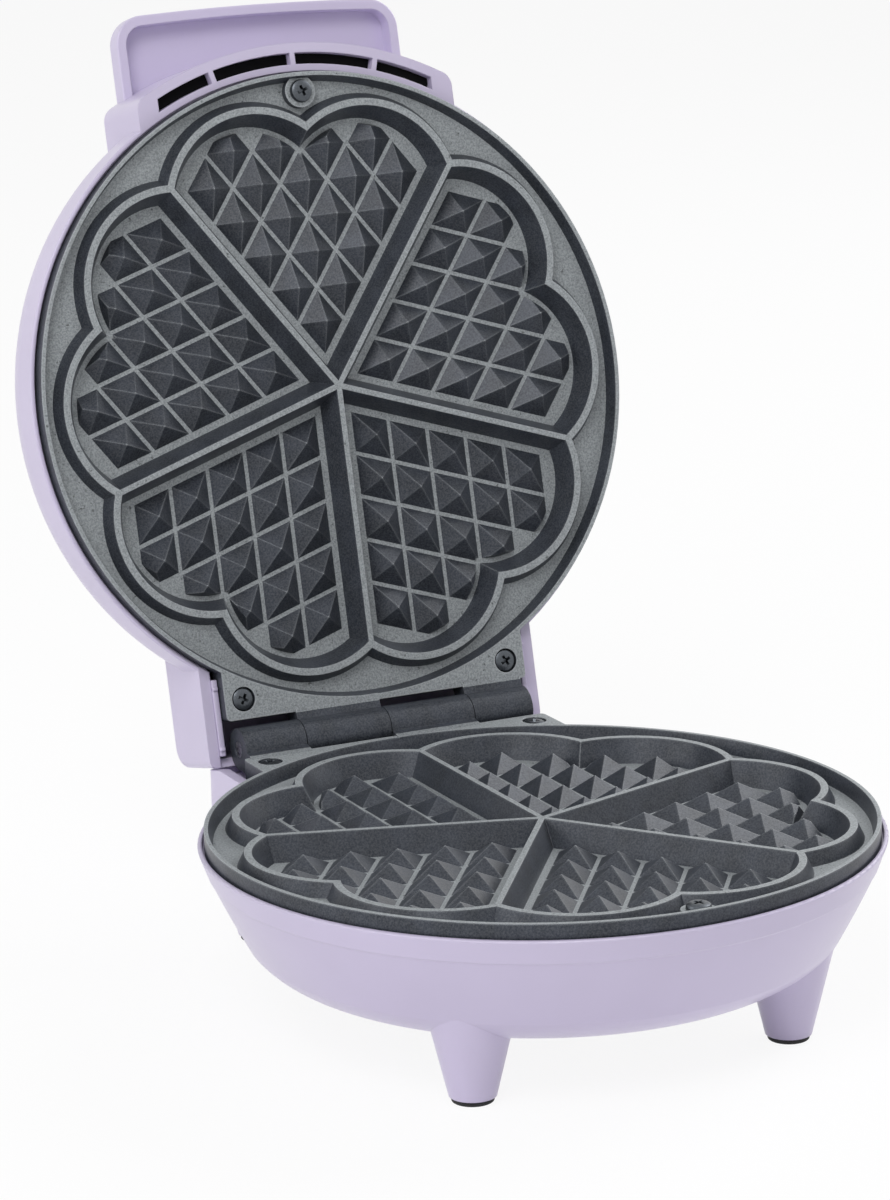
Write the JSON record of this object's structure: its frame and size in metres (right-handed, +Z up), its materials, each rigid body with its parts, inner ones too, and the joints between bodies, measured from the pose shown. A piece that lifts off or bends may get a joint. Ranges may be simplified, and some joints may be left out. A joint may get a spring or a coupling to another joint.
{
  "type": "heart waffle maker",
  "caption": "Round folding waffle iron with heart-shaped cavities in cast plates, a hinged lid with a handle and vents, and a base on feet.",
  "frame": {"origin": "middle of the open product's footprint box, on the surface that it stands on", "axes": "+Z up, +Y from the front of the base towards the hinge, +X to the right seen from the front"},
  "size_m": [0.1942, 0.2882, 0.27],
  "materials": {
    "lilac_plastic": "satin gloss, moulded",
    "coated_casting": "non-stick coated casting",
    "screw_steel": "dark passivated",
    "heater_tube": "drawn tube",
    "sheet_steel": "pressed sheet",
    "pad_rubber": "matt",
    "black_plastic": "moulded",
    "heat_proof_plastic": "moulded",
    "red_lens": "clear tinted",
    "green_lens": "clear tinted",
    "lamp_glass": "clear",
    "fuse_metal": "plain"
  },
  "bodies": {
    "base": {"base_shell": "lilac_plastic", "foot_pads": "pad_rubber", "lower_plate": "coated_casting", "hinge_pin": "screw_steel", "lower_front_screw": "screw_steel", "lower_flange_screws": "screw_steel", "lower_heating_element": "heater_tube", "lower_element_clamps": "sheet_steel", "lower_clamp_screws": "screw_steel", "lower_heat_shield": "sheet_steel", "lower_shield_screws": "screw_steel", "thermostat": "heat_proof_plastic", "thermal_fuse": "fuse_metal", "fuse_clip": "sheet_steel", "terminal_block": "heat_proof_plastic", "cord_gland": "black_plastic", "gland_nut": "black_plastic"},
    "lid": {"lid_shell": "lilac_plastic", "upper_plate": "coated_casting", "upper_front_screw": "screw_steel", "upper_flange_screws": "screw_steel", "upper_heating_element": "heater_tube", "upper_element_clamps": "sheet_steel", "upper_clamp_screws": "screw_steel", "upper_heat_shield": "sheet_steel", "upper_shield_screws": "screw_steel", "power_lens": "red_lens", "ready_lens": "green_lens", "lamp_holder": "heat_proof_plastic", "neon_lamps": "lamp_glass"}
  },
  "joints": [
    {"name": "lid_hinge", "type": "hinge", "parent": "base", "child": "lid", "pos_m": [0, 0.0579, 0.0587], "axis": [-1, 0, 0], "range_deg": [-103.6, 0]}
  ]
}
